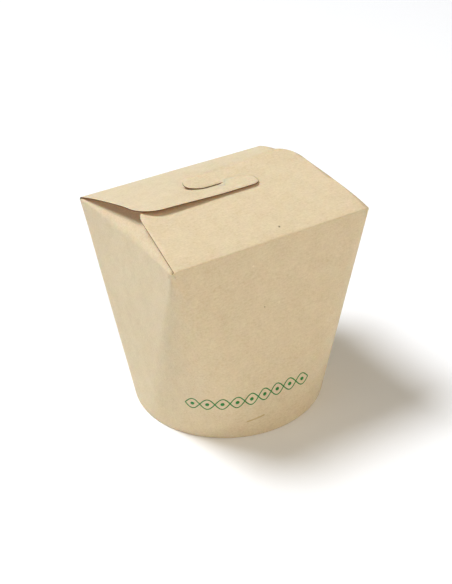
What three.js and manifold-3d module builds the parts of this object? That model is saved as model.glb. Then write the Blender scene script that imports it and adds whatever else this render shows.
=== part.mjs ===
// A shut noodle takeaway box of brown kraft board: a round foot, walls that pass from that
// circle to a rectangular rim, and a front and a back flap that lock into each other over it.
// Millimetres, +Z up, +Y to the back. The origin is on the table, at the middle of the foot.
import * as THREE from "three";
import { mergeVertices } from "three/addons/utils/BufferGeometryUtils.js";
import Module from "manifold-3d";

const rimWidth = 102.8; // along X, the two long folds
const rimDepth = 87; // along Y, the two short folds
const rimHeight = 100;
const rimCornerRadius = 1;
const footDiameter = 94.6;
const board = 0.5; // thickness of the kraft board

const flapRise = 13.2; // degrees, from each long fold to the crest
const flapReach = 54.6; // from the fold to the free edge, up the slope
const flapInset = 1.2; // the flap is cut back this far from each rim corner
const flapTaper = 0.12; // how far each side leans in for each millimetre of reach
const shoulderRadius = 12; // the outer corner of the half that lies on top
const tuckedRadius = 10.5; // the corner of the half that is tucked under
const hookReach = 16.4; // past the middle, where it lies over the other flap
const hookRadius = 4.7;
const slitWidth = 0.6;

const dustRise = 34; // degrees, the short flaps up to where they press against the locked ones

const footWidth = 1.6; // wall, folded-in lip and the disc's turned-down edge between them
const recessDepth = 6; // from the table up to the disc's seat
const seatGap = 0.3; // clearance round the disc

const cornerSteps = 16; // facets in a quarter of the wall
const footSteps = 64;
const arcSteps = 8; // facets in a rounded corner of a flap
const clearance = 20; // how far cutting shapes pass the surface that they cut
const wallOverrun = 2; // the wall is carried on this far over the rim, then cut to the roof
const mergeDistance = 1e-4; // points closer than this are one

const wasm = await Module();
wasm.setup();

// A closed three.js geometry as a solid that can be joined and cut.
function solid(geometry) {
  const bare = geometry.clone();
  bare.deleteAttribute("normal");
  bare.deleteAttribute("uv");
  const merged = mergeVertices(bare, mergeDistance);
  return new wasm.Manifold(
    new wasm.Mesh({
      numProp: 3,
      vertProperties: new Float32Array(merged.getAttribute("position").array),
      triVerts: new Uint32Array(merged.getIndex().array),
    }),
  );
}

// A solid's faces as a three.js geometry.
function surface(body) {
  const mesh = body.getMesh();
  const geometry = new THREE.BufferGeometry();
  geometry.setAttribute("position", new THREE.BufferAttribute(mesh.vertProperties, mesh.numProp));
  geometry.setIndex(new THREE.BufferAttribute(mesh.triVerts, 1));
  geometry.computeVertexNormals();
  return geometry;
}

// One level of the wall. Each quarter is an arc round a centre that moves out from the axis,
// from the circle of the foot to the small corner of the rim, so each pair of rings is joined
// by flat triangles at the sides and parts of cones at the corners, as bent board has to be.
function wallRing(height) {
  const share = height / rimHeight;
  const outX = share * (rimWidth / 2 - rimCornerRadius);
  const outY = share * (rimDepth / 2 - rimCornerRadius);
  const radius = THREE.MathUtils.lerp(footDiameter / 2, rimCornerRadius, share);
  const ring = [];
  for (let quarter = 0; quarter < 4; quarter++) {
    const sideX = quarter === 0 || quarter === 3 ? 1 : -1;
    const sideY = quarter < 2 ? 1 : -1;
    for (let step = 0; step <= cornerSteps; step++) {
      const angle = ((quarter + step / cornerSteps) * Math.PI) / 2;
      const x = sideX * outX + radius * Math.cos(angle);
      const y = sideY * outY + radius * Math.sin(angle);
      ring.push(new THREE.Vector3(x, y, height));
    }
  }
  return ring;
}

// A closed body through rings of equally many points, from the lowest to the highest.
function loft(rings) {
  const count = rings[0].length;
  const faces = [];
  for (let level = 0; level + 1 < rings.length; level++) {
    for (let i = 0; i < count; i++) {
      const next = (i + 1) % count;
      const [a, b] = [level * count + i, level * count + next];
      faces.push(a, b, b + count, a, b + count, a + count);
    }
  }
  const top = (rings.length - 1) * count;
  for (let i = 1; i + 1 < count; i++) {
    faces.push(0, i + 1, i);
    faces.push(top, top + i, top + i + 1);
  }
  const geometry = new THREE.BufferGeometry().setFromPoints(rings.flat());
  geometry.setIndex(faces);
  return dropFlatFaces(mergeVertices(geometry, mergeDistance));
}

// Leaves out the faces whose corners fell together where a ring's points coincide.
function dropFlatFaces(geometry) {
  const corners = geometry.getIndex().array;
  const kept = [];
  for (let i = 0; i < corners.length; i += 3) {
    const [a, b, c] = corners.slice(i, i + 3);
    if (a !== b && b !== c && c !== a) {
      kept.push(a, b, c);
    }
  }
  geometry.setIndex(kept);
  return geometry;
}

// A closed outline through corners [x, y, radius], the first one sharp. Each other one is
// rounded by an arc that touches both its sides, or is sharp too where the radius is 0.
function roundedOutline(corners) {
  const outline = new THREE.Shape();
  const points = corners.map(([x, y]) => new THREE.Vector2(x, y));
  outline.moveTo(points[0].x, points[0].y);
  corners.forEach(([x, y, radius], i) => {
    if (radius === 0) {
      outline.lineTo(x, y);
      return;
    }
    const back = points.at(i - 1).clone().sub(points[i]).normalize();
    const on = points[(i + 1) % points.length].clone().sub(points[i]).normalize();
    const half = Math.acos(back.dot(on)) / 2;
    const toCentre = back.clone().add(on).setLength(radius / Math.sin(half));
    const start = back.setLength(radius / Math.tan(half)).sub(toCentre);
    const end = on.setLength(radius / Math.tan(half)).sub(toCentre);
    const centre = toCentre.add(points[i]);
    const clockwise = start.cross(end) < 0;
    outline.absarc(centre.x, centre.y, radius, start.angle(), end.angle(), clockwise);
  });
  return outline;
}

// An outline drawn in the plane of two directions, and given thickness along their normal.
function slab(outline, across, up, from, thickness) {
  const normal = new THREE.Vector3().crossVectors(across, up);
  const geometry = new THREE.ExtrudeGeometry(outline, {
    depth: thickness,
    bevelEnabled: false,
    curveSegments: arcSteps,
  });
  const frame = new THREE.Matrix4().makeBasis(across, up, normal);
  geometry.applyMatrix4(frame.setPosition(from));
  return solid(geometry);
}

const alongX = new THREE.Vector3(1, 0, 0);
const alongY = new THREE.Vector3(0, 1, 0);
const upwards = new THREE.Vector3(0, 0, 1);

// A block as wide as the box with a roof of two slopes, whose eaves lie over the rim's folds.
function roofBlock(across, span, rise, drop) {
  const slope = Math.tan(THREE.MathUtils.degToRad(rise));
  const eaves = span / 2 + clearance;
  const eavesHeight = rimHeight - drop - clearance * slope;
  const ridgeHeight = rimHeight - drop + (span / 2) * slope;
  const gable = new THREE.Shape();
  gable.moveTo(-eaves, -clearance);
  gable.lineTo(eaves, -clearance);
  gable.lineTo(eaves, eavesHeight);
  gable.lineTo(0, ridgeHeight);
  gable.lineTo(-eaves, eavesHeight);
  gable.closePath();
  const length = rimWidth + 2 * clearance;
  const normal = new THREE.Vector3().crossVectors(across, upwards);
  return slab(gable, across, upwards, normal.multiplyScalar(-length / 2), length);
}

// The closed body under the flaps. Its top is the two short flaps, which rise from the short
// folds until they meet the undersides of the locked pair.
function body() {
  const pastRim = rimHeight + wallOverrun;
  const above = wallRing(pastRim).map((point) => point.clone().setZ(rimHeight + clearance));
  const block = solid(loft([wallRing(0), wallRing(pastRim), above]));
  const underLockedFlaps = roofBlock(alongY, rimDepth, flapRise, board / 2);
  const overShortFlaps = roofBlock(alongX, rimWidth, dustRise, 0);
  return block.intersect(underLockedFlaps).intersect(overShortFlaps);
}

// The flat shape of a locked flap, from its fold upwards. Its right half reaches past the
// crest and ends in the hook; its left half stops short at the slit, under the other flap.
function flapOutline() {
  const rise = THREE.MathUtils.degToRad(flapRise);
  const crossing = rimDepth / 2 / Math.cos(rise);
  const fold = rimWidth / 2 - flapInset;
  const hookEdge = crossing + slitWidth / 2;
  const tuckedEdge = crossing - slitWidth / 2;
  return roundedOutline([
    [-fold, 0, 0],
    [fold, 0, 0],
    [fold - flapTaper * flapReach, flapReach, shoulderRadius],
    [-hookReach, flapReach, hookRadius],
    [-hookReach, hookEdge, hookRadius],
    [0, hookEdge, 0],
    [0, tuckedEdge, 0],
    [flapTaper * tuckedEdge - fold, tuckedEdge, tuckedRadius],
  ]);
}

// The front flap in place. The back one is the same shape, turned half round the axis.
function frontFlap() {
  const rise = THREE.MathUtils.degToRad(flapRise);
  const slope = new THREE.Vector3(0, Math.cos(rise), Math.sin(rise));
  const normal = new THREE.Vector3().crossVectors(alongX, slope);
  const fold = new THREE.Vector3(0, -rimDepth / 2, rimHeight);
  return slab(flapOutline(), alongX, slope, fold.addScaledVector(normal, -board), board);
}

// The hollow under the box, inside the ring that it stands on.
function footRecess() {
  const radius = footDiameter / 2 - footWidth;
  const geometry = new THREE.CylinderGeometry(radius, radius, 2 * recessDepth, footSteps);
  return solid(geometry.rotateX(Math.PI / 2));
}

function makeCarton() {
  const front = frontFlap();
  const back = front.rotate([0, 0, 180]);
  return surface(body().add(front).add(back).subtract(footRecess()));
}

// The round bottom, a disc set against the top of the recess.
function makeBaseDisc() {
  const radius = footDiameter / 2 - footWidth - seatGap;
  const middle = recessDepth - seatGap - board / 2;
  const geometry = new THREE.CylinderGeometry(radius, radius, board, footSteps);
  return geometry.rotateX(Math.PI / 2).translate(0, 0, middle);
}

const kraft = new THREE.MeshStandardMaterial({ color: 0xe2ceac, roughness: 0.85, metalness: 0 });
const kraftInside = new THREE.MeshStandardMaterial({ color: 0xd3b98f, roughness: 0.8, metalness: 0 });

const box = new THREE.Group();

const carton = new THREE.Mesh(makeCarton(), kraft);
carton.name = "carton";
box.add(carton);

const baseDisc = new THREE.Mesh(makeBaseDisc(), kraftInside);
baseDisc.name = "base_disc";
box.add(baseDisc);

export default box;
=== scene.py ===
# The shut noodle takeaway box as it looks: one folded sheet of kraft board, its round bottom
# and a green ornament printed near the foot. Everything is in metres, in the frame's own axes.
import math

import bmesh
import bpy
from mathutils import Matrix, Vector, noise


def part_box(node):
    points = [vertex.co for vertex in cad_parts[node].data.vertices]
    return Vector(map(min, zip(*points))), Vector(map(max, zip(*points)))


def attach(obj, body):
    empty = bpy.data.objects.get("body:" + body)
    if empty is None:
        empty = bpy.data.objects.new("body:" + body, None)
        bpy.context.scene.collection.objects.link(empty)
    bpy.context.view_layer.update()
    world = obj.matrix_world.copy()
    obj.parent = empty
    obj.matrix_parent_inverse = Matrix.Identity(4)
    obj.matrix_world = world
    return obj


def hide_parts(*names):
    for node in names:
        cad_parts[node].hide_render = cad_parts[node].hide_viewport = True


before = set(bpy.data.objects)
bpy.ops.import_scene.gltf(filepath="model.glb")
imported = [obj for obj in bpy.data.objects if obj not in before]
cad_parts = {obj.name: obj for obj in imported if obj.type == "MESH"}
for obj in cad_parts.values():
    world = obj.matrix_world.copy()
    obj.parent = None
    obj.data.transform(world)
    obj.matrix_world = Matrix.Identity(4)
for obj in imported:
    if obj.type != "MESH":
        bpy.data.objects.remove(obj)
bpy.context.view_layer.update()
cartonLow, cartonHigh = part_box("carton")
mm = 0.001


def smooth(t):
    t = min(max(t, 0.0), 1.0)
    return t * t * (3 - 2 * t)


def mix(a, b, t):
    return a + (b - a) * t


# The lower of two heights, and the higher one, with the kink between them blended over.
def lower(a, b, blend):
    t = min(max(0.5 + 0.5 * (b - a) / blend, 0.0), 1.0)
    return mix(b, a, t) - blend * t * (1 - t)


def higher(a, b, blend):
    return -lower(-a, -b, blend)


def newPiece(name, bm, material):
    mesh = bpy.data.meshes.new(name)
    bm.to_mesh(mesh)
    bm.free()
    piece = bpy.data.objects.new(name, mesh)
    bpy.context.scene.collection.objects.link(piece)
    mesh.materials.append(material)
    for face in mesh.polygons:
        face.use_smooth = True
    return piece


def newMaterial(name, roughness):
    material = bpy.data.materials.new(name)
    material.use_nodes = True
    tree = material.node_tree
    shader = tree.nodes["Principled BSDF"]
    shader.inputs["Roughness"].default_value = roughness
    return material, tree, shader


def addNode(tree, kind, **values):
    node = tree.nodes.new(kind)
    for key, value in values.items():
        if key in node.inputs:
            node.inputs[key].default_value = value
        else:
            setattr(node, key, value)
    return node


camera = {
    "place": (-217.243 * mm, -363.824 * mm, 310.072 * mm),
    "azimuth": -30.908,  # degrees, as the turn of the lens round the vertical
    "elevation": 31.366,
    "roll": -2.233,
    "lens": 63.388,
    "sensor": 36.0,
}

light = {
    "sky": (1.0, 0.975, 0.90),
    "skyStrength": 0.17,
    "horizon": (0.98, 0.98, 0.98),  # what the lens sees behind the floor
    "aim": (0.0, 0.0, 0.06),
}

# Soft lamps: a place, a size, a power and a colour.
lamps = {
    "key": ((-0.95, 1.1, 2.95), 1.2, 104.0, (0.90, 0.935, 1.0)),
    "front": ((0.5, -2.6, 0.9), 2.0, 26.0, (1.0, 0.92, 0.87)),
    "high": ((0.3, -1.6, 2.8), 2.0, 12.5, (1.0, 0.85, 0.55)),
    "side": ((-2.6, -0.1, 0.9), 2.0, 10.0, (0.95, 0.97, 1.0)),
}

floor = {"size": 2.6, "colour": (0.96, 0.96, 0.96), "roughness": 0.8}


def addCamera():
    lens = bpy.data.cameras.new("camera")
    lens.lens = camera["lens"]
    lens.sensor_width = camera["sensor"]
    holder = bpy.data.objects.new("camera", lens)
    bpy.context.scene.collection.objects.link(holder)
    turn = Matrix.Rotation(math.radians(camera["azimuth"]), 4, "Z")
    tip = Matrix.Rotation(math.radians(90 - camera["elevation"]), 4, "X")
    roll = Matrix.Rotation(math.radians(camera["roll"]), 4, "Z")
    holder.matrix_world = Matrix.Translation(camera["place"]) @ turn @ tip @ roll
    bpy.context.scene.camera = holder


def addLamp(name, place, size, power, colour):
    lamp = bpy.data.lights.new(name, "AREA")
    lamp.shape = "DISK"
    lamp.size = size
    lamp.energy = power
    lamp.color = colour
    holder = bpy.data.objects.new(name, lamp)
    bpy.context.scene.collection.objects.link(holder)
    holder.location = place
    towards = Vector(light["aim"]) - Vector(place)
    holder.rotation_euler = towards.to_track_quat("-Z", "Y").to_euler()


# A dim sky lights the box, and a plain pale one stands behind the floor.
def addSky():
    world = bpy.data.worlds.new("studio")
    world.use_nodes = True
    tree = world.node_tree
    sky = tree.nodes["Background"]
    sky.inputs["Color"].default_value = (*light["sky"], 1)
    sky.inputs["Strength"].default_value = light["skyStrength"]
    seen = addNode(tree, "ShaderNodeBackground", Color=(*light["horizon"], 1))
    rays = addNode(tree, "ShaderNodeLightPath")
    choice = addNode(tree, "ShaderNodeMixShader")
    sources = (rays.outputs["Is Camera Ray"], sky.outputs[0], seen.outputs[0])
    for source, socket in zip(sources, choice.inputs):
        tree.links.new(source, socket)
    tree.links.new(choice.outputs[0], tree.nodes["World Output"].inputs["Surface"])
    bpy.context.scene.world = world


def makeStudio():
    addCamera()
    addSky()
    bpy.context.scene.view_settings.view_transform = "Standard"
    for name, lamp in lamps.items():
        addLamp(name, *lamp)
    material, tree, shader = newMaterial("pale_floor", floor["roughness"])
    shader.inputs["Base Color"].default_value = (*floor["colour"], 1)
    bm = bmesh.new()
    bmesh.ops.create_grid(bm, x_segments=1, y_segments=1, size=floor["size"] / 2)
    newPiece("floor", bm, material)


kraft = {
    "dark": (0.594, 0.472, 0.293),
    "colour": (0.668, 0.549, 0.361),
    "pale": (0.735, 0.617, 0.423),
    "stops": (0.34, 0.5, 0.66),  # where these three tones lie, from 0 to 1
    "middle": 0.5,
    "roughness": 0.78,
    "gloss": 0.25,
    "glow": 0.5,  # light gets a little way into the board, and the red of it gets furthest
    "glowReach": (0.60, 0.25, 0.10),
    "glowScale": 1.0 * mm,
    # The layers of its tone: rates per metre, detail, roughness, and how much each adds.
    "cloud": ((150, 150, 150), 3, 0.5, 0.22),
    "fleck": ((1100, 1100, 1100), 4, 0.6, 0.42),
    "fibre": ((420, 2300, 2300), 2, 0.5, 0.30),
    "bumpStrength": 0.5,
    "bumpDepth": 0.05 * mm,
    "discShade": 0.94,  # the bottom is a little darker
}

# Small marks in millimetres: a place, how far they reach, how strong they are and their colour.
marks = {
    "speck on the front flap": ((6.1, -37.8, 101.7), 0.80, 1.0, (0.06, 0.03, 0.015)),
    "speck on the front wall": ((-6.7, -44.6, 68.8), 0.60, 0.9, (0.15, 0.10, 0.05)),
    "upper scuff": ((-11.6, -43.9, 90.6), 0.8, 0.5, (0.93, 0.82, 0.62)),
    "lower scuff": ((1.0, -44.7, 68.6), 0.9, 0.45, (0.93, 0.82, 0.60)),
    "faint spot": ((-31.5, -44.0, 85.9), 0.8, 0.35, (0.56, 0.37, 0.22)),
}

# A mark along a line: its two ends, then the same three as above.
scratch = ((-17.4, -45.1, 10.0), (-9.4, -46.7, 11.3), 0.75, 0.85, (0.47, 0.32, 0.13))


# Links an output to a socket, or gives the socket a fixed value.
def feed(tree, socket, value):
    if isinstance(value, bpy.types.NodeSocket):
        tree.links.new(value, socket)
    else:
        socket.default_value = value


def addMath(tree, operation, first, second):
    node = addNode(tree, "ShaderNodeMath", operation=operation)
    feed(tree, node.inputs[0], first)
    feed(tree, node.inputs[1], second)
    return node.outputs[0]


def addVector(tree, operation, first, second):
    node = addNode(tree, "ShaderNodeVectorMath", operation=operation)
    feed(tree, node.inputs[0], first)
    feed(tree, node.inputs["Scale" if operation == "SCALE" else 1], second)
    return node.outputs


# A noise in the board, from 0 to 1.
def addGrain(tree, place, rates, detail, rough=0.5):
    stretch = addNode(tree, "ShaderNodeMapping", Scale=rates)
    grain = addNode(tree, "ShaderNodeTexNoise", Scale=1.0, Detail=detail, Roughness=rough)
    tree.links.new(place, stretch.inputs["Vector"])
    tree.links.new(stretch.outputs["Vector"], grain.inputs["Vector"])
    return grain.outputs["Fac"]


# The same noise about its middle, weighed.
def addLayer(tree, place, rates, detail, rough, share):
    grain = addGrain(tree, place, rates, detail, rough)
    return addMath(tree, "MULTIPLY", addMath(tree, "SUBTRACT", grain, 0.5), share)


def addRamp(tree, factor, stops):
    ramp = addNode(tree, "ShaderNodeValToRGB")
    elements = ramp.color_ramp.elements
    for position, colour in stops[1:-1]:
        elements.new(position)
    for element, (position, colour) in zip(elements, stops):
        element.position = position
        element.color = (*colour, 1)
    tree.links.new(factor, ramp.inputs["Fac"])
    return ramp.outputs["Color"]


# Tints the board at a mark. A colour mix takes its share at socket 0 and its colours at 6 and 7.
def addTint(tree, colour, away, reach, strength, tint):
    fade = addNode(tree, "ShaderNodeMapRange", interpolation_type="SMOOTHSTEP")
    ends = {"From Min": 0.0, "From Max": reach * mm, "To Min": strength, "To Max": 0.0}
    for name, value in ends.items():
        fade.inputs[name].default_value = value
    tree.links.new(away, fade.inputs["Value"])
    blend = addNode(tree, "ShaderNodeMix", data_type="RGBA")
    blend.inputs[7].default_value = (*tint, 1)
    tree.links.new(fade.outputs["Result"], blend.inputs[0])
    tree.links.new(colour, blend.inputs[6])
    return blend.outputs[2]


def addMarks(tree, place, colour):
    for centre, reach, strength, tint in marks.values():
        away = addVector(tree, "DISTANCE", place, Vector(centre) * mm)["Value"]
        colour = addTint(tree, colour, away, reach, strength, tint)
    start, end, reach, strength, tint = scratch
    way = (Vector(end) - Vector(start)) * mm
    offset = addVector(tree, "SUBTRACT", place, Vector(start) * mm)["Vector"]
    along = addVector(tree, "DOT_PRODUCT", offset, way / way.length_squared)["Value"]
    held = addMath(tree, "MINIMUM", addMath(tree, "MAXIMUM", along, 0.0), 1.0)
    nearest = addVector(tree, "SCALE", way, held)["Vector"]
    away = addVector(tree, "DISTANCE", offset, nearest)["Value"]
    return addTint(tree, colour, away, reach, strength, tint)


def makeKraft(name, shade=1.0, marked=False):
    material, tree, shader = newMaterial(name, kraft["roughness"])
    shader.inputs["Specular IOR Level"].default_value = kraft["gloss"]
    shader.inputs["Subsurface Weight"].default_value = kraft["glow"]
    shader.inputs["Subsurface Radius"].default_value = kraft["glowReach"]
    shader.inputs["Subsurface Scale"].default_value = kraft["glowScale"]
    place = addNode(tree, "ShaderNodeTexCoord").outputs["Object"]
    cloud = addLayer(tree, place, *kraft["cloud"])
    fleck = addLayer(tree, place, *kraft["fleck"])
    fibre = addLayer(tree, place, *kraft["fibre"])
    grain = addMath(tree, "ADD", fleck, fibre)
    tone = addMath(tree, "ADD", cloud, addMath(tree, "ADD", grain, kraft["middle"]))
    tones = [tuple(channel * shade for channel in kraft[key]) for key in ("dark", "colour", "pale")]
    colour = addRamp(tree, tone, list(zip(kraft["stops"], tones)))
    if marked:
        colour = addMarks(tree, place, colour)
    tree.links.new(colour, shader.inputs["Base Color"])
    depth, strength = kraft["bumpDepth"], kraft["bumpStrength"]
    bump = addNode(tree, "ShaderNodeBump", Strength=strength, Distance=depth)
    tree.links.new(grain, bump.inputs["Height"])
    tree.links.new(bump.outputs["Normal"], shader.inputs["Normal"])
    return material


# The board's inner face, its cut edge and the print: two tones in a fine grain. The cut edge is
# partly painted shade: it is much darker than the board, so it draws the shadow line under the
# flaps' free edges.
inside = {
    "dark": (0.50, 0.190, 0.045),
    "pale": (0.60, 0.260, 0.075),
    "roughness": 0.6,
    "rate": 900,
}
# Painted shade: the cut edge's own tone, made near black-brown to stand in for the dark shadow line
# under the flaps' free edges.
cutEdgeAndPaintedShade = {
    "dark": (0.09, 0.042, 0.012),
    "pale": (0.18, 0.095, 0.035),
    "roughness": 0.9,
    "rate": 1400,
}
ink = {
    "dark": (0.003, 0.165, 0.018),
    "pale": (0.020, 0.250, 0.042),
    "roughness": 0.55,
    "rate": 1800,
}
twoTone = {"detail": 3, "stops": (0.38, 0.68)}


def makeTwoTone(name, finish):
    material, tree, shader = newMaterial(name, finish["roughness"])
    place = addNode(tree, "ShaderNodeTexCoord").outputs["Object"]
    grain = addGrain(tree, place, (finish["rate"],) * 3, twoTone["detail"])
    stops = list(zip(twoTone["stops"], (finish["dark"], finish["pale"])))
    tree.links.new(addRamp(tree, grain, stops), shader.inputs["Base Color"])
    return material


# The sides of the box, counted in quarter turns from the front.
front, right, back, left = range(4)

carton = {
    "rimWidth": cartonHigh.x - cartonLow.x,
    "rimDepth": 87.0 * mm,
    "rimHeight": 100 * mm,
    "rimCorner": 0.45 * mm,
    "footRadius": (cartonHigh.y - cartonLow.y) / 2,
    "board": 0.42 * mm,
    "wallTop": 96 * mm,  # up to here the wall is one sleeve, and above it the flaps take over
    "wallRows": 40,
    "sideColumns": 40,
    "cornerColumns": 24,
    "footWidth": 1.6 * mm,
    "footSteps": 8,
    "lipTop": 5.1 * mm,
    "lipRows": 3,
    "cornerTop": 99.75 * mm,
    "cornerRows": 4,
    "cornerSteps": 6,
    "sideBow": 2.0 * mm,  # how far the short folds give way inward at their middle
    "sideBowFrom": 62 * mm,
    "sideBowFade": 3,  # how soon that is gone round the corner
    "waver": 0.10 * mm,  # how far the board wanders from its true form
    "waverRate": 28,
    "waverRise": 20 * mm,
    "waverSeed": 1,
    "weld": 2e-6,
}

seam = {  # where the sheet's ends are glued, on the back
    "share": 0.71,
    "edge": 0.0008,  # the overlapping end, as a share of the side
    "step": 0.42 * mm,
    "ramp": 0.17,
    "fade": 12 * mm,
}


# The wall. A column is an angle and the centre of its arc, as shares of the way to the rim's
# corner centres. Every level of the wall is then a rectangle with round corners: a full circle
# at the foot, nearly sharp at the rim, and bent only as flat board can be.
def sideShares():
    shares = [step / carton["sideColumns"] for step in range(carton["sideColumns"])]
    shares += [seam["share"] - seam["edge"], seam["share"] + seam["edge"]]
    return sorted(shares)


def wallColumns():
    centres = [Vector((-1, -1)), Vector((1, -1)), Vector((1, 1)), Vector((-1, 1))]
    columns = []
    for side in (front, right, back, left):
        angle = math.radians(90 * side - 90)
        start, end = centres[side], centres[(side + 1) % 4]
        for share in sideShares():
            columns.append((angle, start.lerp(end, share), seamStep(side, share)))
        for step in range(carton["cornerColumns"]):
            turn = math.radians(90) * step / carton["cornerColumns"]
            columns.append((angle + turn, end, 0.0))
    return columns


# How far the glued end stands out from the wall under it.
def seamStep(side, share):
    past = share - seam["share"]
    if side != back or past > 0:
        return 0.0
    return seam["step"] * smooth(1 + past / seam["ramp"])


def shortSideBow(along, height):
    start = carton["sideBowFrom"]
    level = smooth((height - start) / (carton["rimHeight"] - start))
    across = 1 - min(abs(along) / (carton["rimDepth"] / 2), 1.0) ** 2
    return carton["sideBow"] * level * across


# The middle of a corner's arc at a level of the wall, and the arc's radius.
def cornerAt(height):
    share = height / carton["rimHeight"]
    outX = share * (carton["rimWidth"] / 2 - carton["rimCorner"])
    outY = share * (carton["rimDepth"] / 2 - carton["rimCorner"])
    return outX, outY, mix(carton["footRadius"], carton["rimCorner"], share)


def wallPoint(column, height, inward=0.0):
    angle, centre, stand = column
    outX, outY, radius = cornerAt(height)
    radius -= inward
    radius += (stand * smooth((carton["wallTop"] - height) / seam["fade"])
               * smooth(height / seam["fade"]))
    x = outX * centre.x + radius * math.cos(angle)
    y = outY * centre.y + radius * math.sin(angle)
    x -= shortSideBow(y, height) * math.cos(angle) ** carton["sideBowFade"]
    return Vector((x, y, height))


# The lower edge turns in and up again: rows from the top of that lip down to the table, then
# round the turned edge, as (height, inward) pairs.
def lipRows():
    width, count, steps = carton["footWidth"], carton["lipRows"], carton["footSteps"]
    rows = [(mix(carton["lipTop"], width / 2, step / count), width) for step in range(count)]
    for step in range(steps + 1):
        turn = math.pi * (1 - step / steps)
        rows.append((width / 2 * (1 - math.sin(turn)), width / 2 * (1 - math.cos(turn))))
    return rows


# A flat grid whose vertices stand on whole numbers, from 0 up.
def addCountedGrid(bm, across, up):
    flat = Matrix.Diagonal((across / 2, up / 2, 1, 1)) @ Matrix.Translation((1, 1, 0))
    made = bmesh.ops.create_grid(bm, x_segments=across, y_segments=up, size=1, matrix=flat)
    return made["verts"]


def addSleeve(bm):
    columns, rows = wallColumns(), lipRows()
    start, count = carton["footWidth"] / 2, carton["wallRows"]
    for step in range(1, count + 1):
        rows.append((mix(start, carton["wallTop"], step / count), 0.0))
    for vert in addCountedGrid(bm, len(columns), len(rows) - 1):
        column = columns[round(vert.co.x) % len(columns)]
        height, inward = rows[round(vert.co.y)]
        vert.co = wallPoint(column, height, inward)


# The small bits of wall between the flaps, which close over each of the rim's corners: rows of
# a height and of how much of the corner's radius is left there.
def rimCornerRows():
    radius, count, steps = carton["rimCorner"], carton["cornerRows"], carton["cornerSteps"]
    bend = carton["cornerTop"] - radius
    rows = [(mix(carton["wallTop"], bend, step / count), 1.0) for step in range(count)]
    for step in range(steps + 1):
        turn = math.radians(90) * step / steps
        rows.append((bend + radius * math.sin(turn), math.cos(turn)))
    return rows


def addRimCorners(bm):
    columns, rows = wallColumns(), rimCornerRows()
    count, straight = carton["cornerColumns"], len(sideShares())
    for side in (front, right, back, left):
        first = side * (straight + count) + straight
        for vert in addCountedGrid(bm, count, len(rows) - 1):
            column = columns[(first + round(vert.co.x)) % len(columns)]
            height, share = rows[round(vert.co.y)]
            radius = cornerAt(height)[-1]
            vert.co = wallPoint(column, height, radius * (1 - share))


blank = {
    "foldSpan": 2.6 * mm,  # how much of a flap's blank goes into the soft fold
    "foldRows": 9,
    "settle": 4 * mm,  # past the fold, where the flap takes up its true length again
    "cell": 2.2 * mm,
    "roundSteps": 12,
    "snap": 1e-7,
}

lockedFlap = {
    "reach": 53.2 * mm,  # to the free edge, seen from above
    "taper": 0.118,
    "shoulderRadius": 12 * mm,
    "tuckedRadius": 10.5 * mm,
    "tuckedInset": 1.1 * mm,  # the half that is tucked under is a little narrower at its fold
    "hookReach": 16.4 * mm,
    "hookRadius": 4.9 * mm,
    "hookCut": (6.4 * mm, 3.3 * mm),  # its inner corner is cut off slanting
    "hookCutRadii": (3.5 * mm, 8.0 * mm),
    "slit": 0.16 * mm,
    "slitShort": 0.9 * mm,  # from the slit to the middle of the box
    "slitEnd": 0.6 * mm,  # along the fold, past its middle
    "drop": 0.0,  # its fold lies in the rim
    "endSoftness": 0.5 * mm,
    "middleSoftness": 0.95 * mm,
}

dustFlap = {
    "reach": 31 * mm,
    "cornerRadius": 6 * mm,
    "straight": 3.0 * mm,  # its sides stay square this far, before they are cut off slanting
    "rise": 34.0,  # degrees, up to where it presses against the locked flaps
    "drop": 0.45 * mm,  # its fold lies this much under the rim
    "endSoftness": 0.8 * mm,
    "middleSoftness": 3.0 * mm,
}

crown = {
    "crest": 10.3 * mm,  # where the two flaps cross, above the rim
    "crestSpan": 0.5,  # past the crest, as a share of the way up to it
    "frontBowLeft": 0.9 * mm,
    "frontBowRight": 2.2 * mm,
    "backBowSide": 2.3 * mm,
    "backBowMiddle": 4.7 * mm,
    "bowRate": 3.1,
    "frontSpring": 2.6 * mm,  # the front flap's free corner lifts, past the crest
    "springFrom": 0.92,
    "springWidth": 40 * mm,
    "backDroopShoulder": 1.3 * mm,  # and the back flap's free edge hangs down
    "backDroopHook": 2.2 * mm,
    "droopFrom": 0.82,
    "droopWidth": 35 * mm,
    "overlap": 0.40 * mm,  # from one sheet's face to the next one's
    "passWidth": 4 * mm,
    "blend": 0.3 * mm,
}


# A flap's flat blank: an outline of [along, outward, radius] corners, rounded by bevels and
# cut into cells small enough to bend. Below 0 it is still wall, above 0 it is flap.
def flapBlank(corners, halfFold):
    bm = bmesh.new()
    verts = [bm.verts.new((x, y, 0)) for x, y, radius in corners]
    bm.faces.new(verts)
    for vert, (x, y, radius) in zip(verts, corners):
        if radius == 0:
            continue
        here = Vector((x, y, 0))
        first, second = [(edge.other_vert(vert).co - here) for edge in vert.link_edges]
        offset = radius / math.tan(first.angle(second) / 2)
        bmesh.ops.bevel(bm, geom=[vert], offset=offset, offset_type="OFFSET",
                        segments=blank["roundSteps"], profile=0.5, affect="VERTICES", material=-1)
    span, rows = blank["foldSpan"], blank["foldRows"]
    levels = [step * span / rows for step in range(rows + 1)]
    levels.append((carton["wallTop"] - carton["rimHeight"]) / 2)
    reach = max(outward for along, outward, radius in corners)
    cells = round((reach - span) / blank["cell"])
    levels += [mix(span, reach, step / cells) for step in range(1, cells)]
    for level in levels:
        cutAlong(bm, (0, level, 0), (0, 1, 0))
    for share in sideShares()[1:]:
        cutAlong(bm, (mix(-halfFold, halfFold, share), 0, 0), (1, 0, 0))
    return bm


def cutAlong(bm, point, normal):
    geometry = bm.verts[:] + bm.edges[:] + bm.faces[:]
    bmesh.ops.bisect_plane(bm, geom=geometry, dist=blank["snap"], plane_co=point, plane_no=normal)


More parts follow.
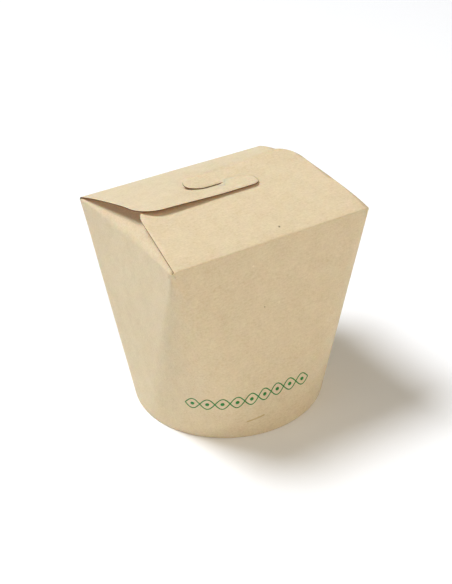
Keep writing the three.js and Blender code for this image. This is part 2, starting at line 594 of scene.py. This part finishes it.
# Bends a flat blank over its fold. A side turns the local axes, along the fold and inward,
# into the frame's; height gives the flap's surface over the rim at a place seen from above.
def foldBlank(bm, side, halfSpan, halfFold, height, flap):
    top, drop = carton["rimHeight"], flap["drop"]
    lean = (carton["footRadius"] - halfSpan) / top
    wallSpan = top - carton["wallTop"]
    span = blank["foldSpan"]
    turn = Matrix.Rotation(math.radians(90 * side), 3, "Z")
    for vert in bm.verts:
        along, out = vert.co.x, vert.co.y
        soft = mix(flap["middleSoftness"], flap["endSoftness"], smooth(abs(along) / halfFold))
        wallEnd = Vector((-lean * (soft + drop), top - drop - soft))
        fold = Vector((-lean * drop, top - drop))
        flapEnd = Vector((soft, top - drop + height(along, soft)))
        if out <= 0:
            start = Vector((-lean * wallSpan, carton["wallTop"]))
            place = wallEnd.lerp(start, -out / wallSpan)
        elif out < span:
            t = out / span
            place = wallEnd.lerp(fold, t).lerp(fold.lerp(flapEnd, t), t)
        else:
            inward = out + (soft - span) * math.exp((span - out) / blank["settle"])
            place = Vector((inward, top - drop + height(along, inward)))
        along *= min(place.y / top, 1.0)
        if side in (right, left):
            settled = 1 - smooth(place.x / dustFlap["reach"])
            place.x += shortSideBow(along, min(place.y, top)) * settled
        vert.co = turn @ Vector((along, place.x - halfSpan, place.y))


# A bent flap stands this much over the straight way from its fold to the crest, for each
# millimetre of bow. A share is how far along that way a place is, and over 1 past the crest.
def bowShape(share):
    rate = crown["bowRate"]
    return (1 - math.exp(-rate * share)) / (1 - math.exp(-rate)) - share


def pastCrest(share, start):
    return smooth((share - start) / crown["crestSpan"])


# The free form of each locked flap over the rim, at a place in the frame.
def frontForm(x, y):
    share = 1 + 2 * y / carton["rimDepth"]
    across = smooth(0.5 + x / carton["rimWidth"])
    bow = mix(crown["frontBowLeft"], crown["frontBowRight"], across)
    spring = crown["frontSpring"] * smooth(x / crown["springWidth"])
    spring *= pastCrest(share, crown["springFrom"])
    return crown["crest"] * share + bow * bowShape(share) + spring


def backForm(x, y):
    share = 1 - 2 * y / carton["rimDepth"]
    across = smooth(2 * abs(x) / carton["rimWidth"])
    bow = mix(crown["backBowMiddle"], crown["backBowSide"], across)
    outward = smooth(-x / crown["droopWidth"])
    droop = mix(crown["backDroopHook"], crown["backDroopShoulder"], outward)
    droop *= pastCrest(share, crown["droopFrom"])
    return crown["crest"] * share + bow * bowShape(share) - droop


# Where the flaps pass each other the tucked half stays under the other flap, and the hook
# beyond the slit stays over it.
def passing(own, other, along, past):
    if past < 0:
        held = lower(own, other - crown["overlap"], crown["blend"])
    else:
        held = higher(own, other + crown["overlap"], crown["blend"])
    return mix(own, held, smooth(-along / crown["passWidth"]))


def slitPlace():
    return carton["rimDepth"] / 2 - lockedFlap["slitShort"]


def frontHeight(along, inward):
    x, y = along, inward - carton["rimDepth"] / 2
    return passing(frontForm(x, y), backForm(x, y), along, inward - slitPlace())


def backHeight(along, inward):
    x, y = -along, carton["rimDepth"] / 2 - inward
    return passing(backForm(x, y), frontForm(x, y), along, inward - slitPlace())


# A short flap rises freely until the locked flaps press it down, under both their sheets.
def dustHeight(side):
    sign = 1 if side == right else -1
    slope = math.tan(math.radians(dustFlap["rise"]))

    def height(along, inward):
        x, y = sign * (carton["rimWidth"] / 2 - inward), sign * along
        roof = lower(frontForm(x, y), backForm(x, y), crown["blend"])
        limit = roof - 2 * crown["overlap"] + dustFlap["drop"]
        return lower(inward * slope, limit, crown["blend"])

    return height


def addLockedFlap(bm, side, height):
    halfFold = carton["rimWidth"] / 2 - carton["rimCorner"]
    tuckedFold = halfFold - lockedFlap["tuckedInset"]
    reach, taper = lockedFlap["reach"], lockedFlap["taper"]
    above, below = slitPlace() + lockedFlap["slit"] / 2, slitPlace() - lockedFlap["slit"] / 2
    bottom = carton["wallTop"] - carton["rimHeight"]
    start = blank["foldSpan"] / 2
    hook = lockedFlap["hookReach"]
    cutAcross, cutUp = lockedFlap["hookCut"]
    endRadius, slitRadius = lockedFlap["hookCutRadii"]
    corners = [
        (-halfFold, bottom, 0),
        (halfFold, bottom, 0),
        (halfFold, start, 0),
        (halfFold - taper * (reach - start), reach, lockedFlap["shoulderRadius"]),
        (-hook, reach, lockedFlap["hookRadius"]),
        (-hook, above + cutUp, endRadius),
        (cutAcross - hook, above, slitRadius),
        (lockedFlap["slitEnd"], above, 0),
        (lockedFlap["slitEnd"], below, 0),
        (taper * (below - start) - tuckedFold, below, lockedFlap["tuckedRadius"]),
        (-tuckedFold, start, 0),
        (-halfFold, 0, 0),
    ]
    sheet = flapBlank(corners, halfFold)
    foldBlank(sheet, side, carton["rimDepth"] / 2, halfFold, height, lockedFlap)
    joinInto(bm, sheet)


def addDustFlap(bm, side):
    halfFold = carton["rimDepth"] / 2 - carton["rimCorner"]
    reach, straight = dustFlap["reach"], dustFlap["straight"]
    bottom = carton["wallTop"] - carton["rimHeight"]
    corners = [
        (-halfFold, bottom, 0),
        (halfFold, bottom, 0),
        (halfFold, straight, 0),
        (halfFold - (reach - straight), reach, dustFlap["cornerRadius"]),
        (reach - straight - halfFold, reach, dustFlap["cornerRadius"]),
        (-halfFold, straight, 0),
    ]
    sheet = flapBlank(corners, halfFold)
    foldBlank(sheet, side, carton["rimWidth"] / 2, halfFold, dustHeight(side), dustFlap)
    joinInto(bm, sheet)


def joinInto(bm, other):
    carrier = bpy.data.meshes.new("sheet")
    other.to_mesh(carrier)
    other.free()
    bm.from_mesh(carrier)
    bpy.data.meshes.remove(carrier)


noise.seed_set(carton["waverSeed"])  # or the wander would differ from run to run


# The board isn't dead flat: it wanders a little, less and less towards the foot.
def wander(place):
    level = smooth((place.z - carton["footWidth"]) / carton["waverRise"])
    return noise.noise_vector(place * carton["waverRate"]) * carton["waver"] * level


def makeCarton(outerMaterial, edgeAndShadeMaterial, innerMaterial):
    bm = bmesh.new()
    addSleeve(bm)
    addRimCorners(bm)
    addLockedFlap(bm, front, frontHeight)
    addLockedFlap(bm, back, backHeight)
    addDustFlap(bm, right)
    addDustFlap(bm, left)
    bmesh.ops.remove_doubles(bm, verts=bm.verts, dist=carton["weld"])
    for vert in bm.verts:
        vert.co += wander(vert.co)
    bmesh.ops.recalc_face_normals(bm, faces=bm.faces)
    piece = newPiece("carton_board", bm, outerMaterial)
    piece.data.materials.append(edgeAndShadeMaterial)
    piece.data.materials.append(innerMaterial)
    thickness = piece.modifiers.new("board", "SOLIDIFY")
    thickness.thickness = carton["board"]
    thickness.offset = -1
    thickness.use_even_offset = True
    thickness.use_rim = True
    # The rim gets the cut edge's material, painted dark as shade along the free edges.
    thickness.material_offset_rim = 1  # the cut edge's material
    thickness.material_offset = 2  # and the inner face's
    return piece


disc = {
    "radius": 46.3 * mm,
    "low": 5.2 * mm,
    "board": 0.42 * mm,
    "ringRadius": 39.5 * mm,
    "ringWidth": 2.2 * mm,
    "ringDepth": 0.35 * mm,
    "bend": 0.5 * mm,
    "bendSteps": 3,
    "steps": 128,
}


# The round bottom: a turned profile with one pressed ring, closed on the axis.
def makeDisc(material):
    bm = bmesh.new()
    ring, width = disc["ringRadius"], disc["ringWidth"]
    rise = [(0, 0), (ring - width, 0), (ring - width / 2, 1), (ring + width / 2, 1),
            (ring + width, 0), (disc["radius"], 0)]
    profile = [(radius, disc["low"] + disc["ringDepth"] * up) for radius, up in rise]
    profile += [(radius, height + disc["board"]) for radius, height in reversed(profile)]
    verts = [bm.verts.new((radius, 0, height)) for radius, height in profile]
    for pair in zip(verts, verts[1:]):
        bm.edges.new(pair)
    ringCorners = verts[1:5] + verts[7:11]  # all but the axis and the outer edge, on both faces
    bmesh.ops.bevel(bm, geom=ringCorners, offset=disc["bend"], segments=disc["bendSteps"],
                    profile=0.5, affect="VERTICES", material=-1)
    bmesh.ops.spin(bm, geom=bm.verts[:] + bm.edges[:], cent=(0, 0, 0), axis=(0, 0, 1),
                   angle=math.tau, steps=disc["steps"], use_merge=True)
    bmesh.ops.remove_doubles(bm, verts=bm.verts, dist=carton["weld"])
    bmesh.ops.recalc_face_normals(bm, faces=bm.faces)
    return newPiece("bottom_disc", bm, material)


ornament = {
    "start": -47 * mm,  # along the wall from the middle of the front
    "height": 23 * mm,
    "wave": 14 * mm,
    "eyes": 9,
    "swing": 3.1 * mm,
    "line": 0.55 * mm,
    "stepsPerEye": 22,
    "dot": 0.95 * mm,
    "dotSteps": 20,
    "proud": 0.03 * mm,
    "film": 0.06 * mm,
}


# A place on the printed wall, by its way along the wall from the middle of the front.
def printPlace(along, height):
    straight, outY, radius = cornerAt(height)
    side = math.copysign(1, along)
    turn = max(abs(along) - straight, 0) / radius
    x = side * (min(abs(along), straight) + radius * math.sin(turn))
    place = Vector((x, -outY - radius * math.cos(turn), height))
    outward = Vector((side * math.sin(turn), -math.cos(turn), 0))
    return place + wander(place) + outward * ornament["proud"]


# Two strands that wind round each other, with a dot in each eye.
def makeOrnament(material):
    bm = bmesh.new()
    start, height, wave = ornament["start"], ornament["height"], ornament["wave"]
    steps = ornament["eyes"] * ornament["stepsPerEye"]
    for strand in (-1, 1):
        flat = Matrix.Diagonal((steps / 2, 1, 1, 1)) @ Matrix.Translation((1, 0, 0))
        made = bmesh.ops.create_grid(bm, x_segments=steps, y_segments=2, size=1, matrix=flat)
        for vert in made["verts"]:
            phase = math.pi * vert.co.x / ornament["stepsPerEye"]
            swing = strand * ornament["swing"] * math.sin(phase)
            slope = strand * ornament["swing"] * math.cos(phase) * math.tau / wave
            across = Vector((-slope, 1)).normalized() * vert.co.y * (ornament["line"] / 2)
            along, up = Vector((wave * phase / math.tau, swing)) + across
            vert.co = printPlace(start + along, height + up)
    for eye in range(ornament["eyes"]):
        made = bmesh.ops.create_circle(bm, cap_ends=True, cap_tris=True,
                                       segments=ornament["dotSteps"], radius=ornament["dot"])
        middle = start + (eye + 0.5) * wave / 2
        for vert in made["verts"]:
            vert.co = printPlace(middle + vert.co.x, height + vert.co.y)
    bmesh.ops.recalc_face_normals(bm, faces=bm.faces)
    for face in bm.faces:
        if face.normal.dot(face.calc_center_median() * Vector((1, 1, 0))) < 0:
            face.normal_flip()
    piece = newPiece("green_ornament", bm, material)
    film = piece.modifiers.new("film", "SOLIDIFY")
    film.thickness = ornament["film"]
    film.offset = -1
    film.use_rim = True
    return piece


print("box: studio")
makeStudio()
print("box: materials")
kraftBoard = makeKraft("kraft_board", marked=True)
kraftDisc = makeKraft("kraft_disc", kraft["discShade"])
kraftInside = makeTwoTone("kraft_inside", inside)
# The cut edge, painted dark to stand in for the shadow under the flaps' free edges.
kraftEdgeAndPaintedShade = makeTwoTone("kraft_cut_edge_painted_shade", cutEdgeAndPaintedShade)
greenInk = makeTwoTone("green_print", ink)
print("box: carton")
cartonBoard = makeCarton(kraftBoard, kraftEdgeAndPaintedShade, kraftInside)
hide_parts("carton")
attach(cartonBoard, "root")
print("box: bottom")
bottomDisc = makeDisc(kraftDisc)
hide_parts("base_disc")
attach(bottomDisc, "root")
print("box: print")
greenOrnament = makeOrnament(greenInk)
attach(greenOrnament, "root")

print("box: done")
